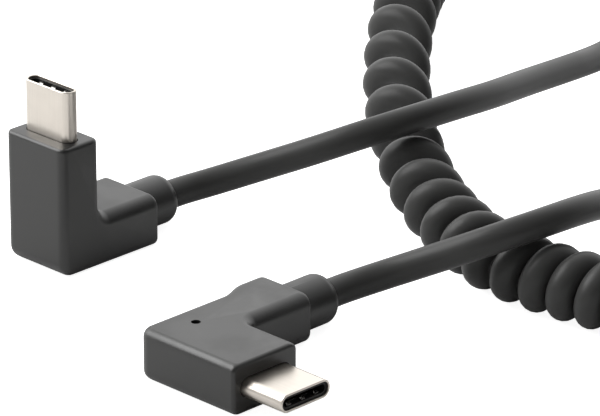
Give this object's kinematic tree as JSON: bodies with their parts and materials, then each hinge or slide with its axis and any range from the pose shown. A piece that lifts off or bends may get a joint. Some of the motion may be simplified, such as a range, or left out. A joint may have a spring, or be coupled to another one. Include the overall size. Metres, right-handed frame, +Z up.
{
  "type": "usb-c cable",
  "caption": "Coiled cable with a right-angle plug at each end: one upright, one flat. Round black cord, moulded elbows, flat metal shells.",
  "frame": {"origin": "on the floor, where the axis of plug A's upright shell meets the foot of its housing", "axes": "+Z up along plug A's shell, +X the way both leads leave their plugs, and plug B's shell points along -Y"},
  "size_m": [0.146, 0.1256, 0.0244],
  "materials": {
    "housing_plastic": "satin",
    "cord_jacket": "satin",
    "shell_nickel": "satin",
    "liner_plastic": "matte",
    "contact_gold": "polished",
    "spring_steel": "satin"
  },
  "bodies": {
    "root": {"plug_a_housing": "housing_plastic", "plug_a_shell": "shell_nickel", "plug_a_insulator": "liner_plastic", "plug_a_contacts_near": "contact_gold", "plug_a_contacts_far": "contact_gold", "plug_a_spring_near": "spring_steel", "plug_a_spring_far": "spring_steel", "plug_b_housing": "housing_plastic", "plug_b_shell": "shell_nickel", "plug_b_insulator": "liner_plastic", "plug_b_contacts_near": "contact_gold", "plug_b_contacts_far": "contact_gold", "plug_b_spring_near": "spring_steel", "plug_b_spring_far": "spring_steel", "lead_a": "cord_jacket", "coil": "cord_jacket", "lead_b": "cord_jacket"}
  },
  "joints": []
}
